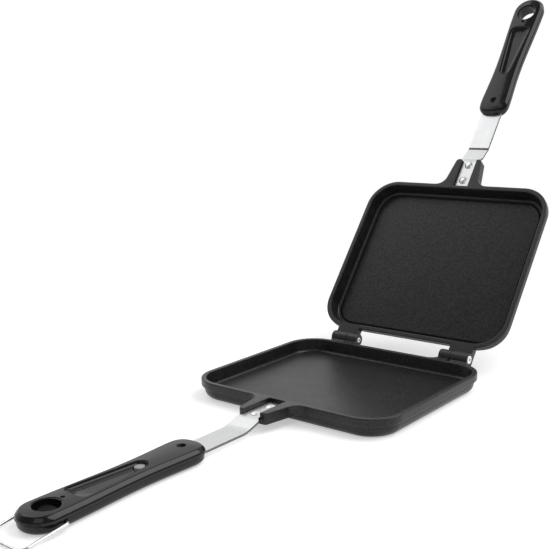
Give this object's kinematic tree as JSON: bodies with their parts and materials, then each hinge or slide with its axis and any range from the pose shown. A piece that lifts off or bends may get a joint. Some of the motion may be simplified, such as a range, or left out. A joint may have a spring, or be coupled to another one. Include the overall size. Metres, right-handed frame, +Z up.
{
  "type": "pie iron",
  "caption": "Sandwich-toasting pie iron of hinged rectangular pans, each with a drain groove and a long grip on a riveted steel strap, and a wire bail that locks it shut.",
  "frame": {"origin": "middle of the base pan's flat underside, where the iron stands", "axes": "+Z up off the stove, -Y along the lower handle, +X along the hinge"},
  "size_m": [0.15, 0.5507, 0.263],
  "materials": {
    "pan_coat": "cast, with a matt dark non-stick coat",
    "strap_steel": "bright brushed",
    "rivet_steel": "polished",
    "wire_steel": "drawn bright wire",
    "handle_plastic": "glossy moulded",
    "button_plastic": "satin"
  },
  "bodies": {
    "base": {"base_pan": "pan_coat", "lower_strap": "strap_steel", "lower_rivet_inner": "rivet_steel", "lower_rivet_outer": "rivet_steel", "lower_handle": "handle_plastic", "lower_handle_pin": "rivet_steel", "handle_button": "button_plastic", "hinge_pin_right": "rivet_steel", "hinge_pin_left": "rivet_steel"},
    "lid": {"lid_pan": "pan_coat", "upper_strap": "strap_steel", "upper_rivet_inner": "rivet_steel", "upper_rivet_outer": "rivet_steel", "upper_handle": "handle_plastic", "upper_handle_pin": "rivet_steel"},
    "bail": {"bail": "wire_steel"}
  },
  "joints": [
    {"name": "lid_hinge", "type": "hinge", "parent": "base", "child": "lid", "pos_m": [0, 0.074, 0.01315], "axis": [1, 0, 0], "range_deg": [0, 129]},
    {"name": "bail_swing", "type": "hinge", "parent": "base", "child": "bail", "pos_m": [0, -0.235, 0.0042], "axis": [1, 0, 0], "range_deg": [-126.8, 0]}
  ]
}
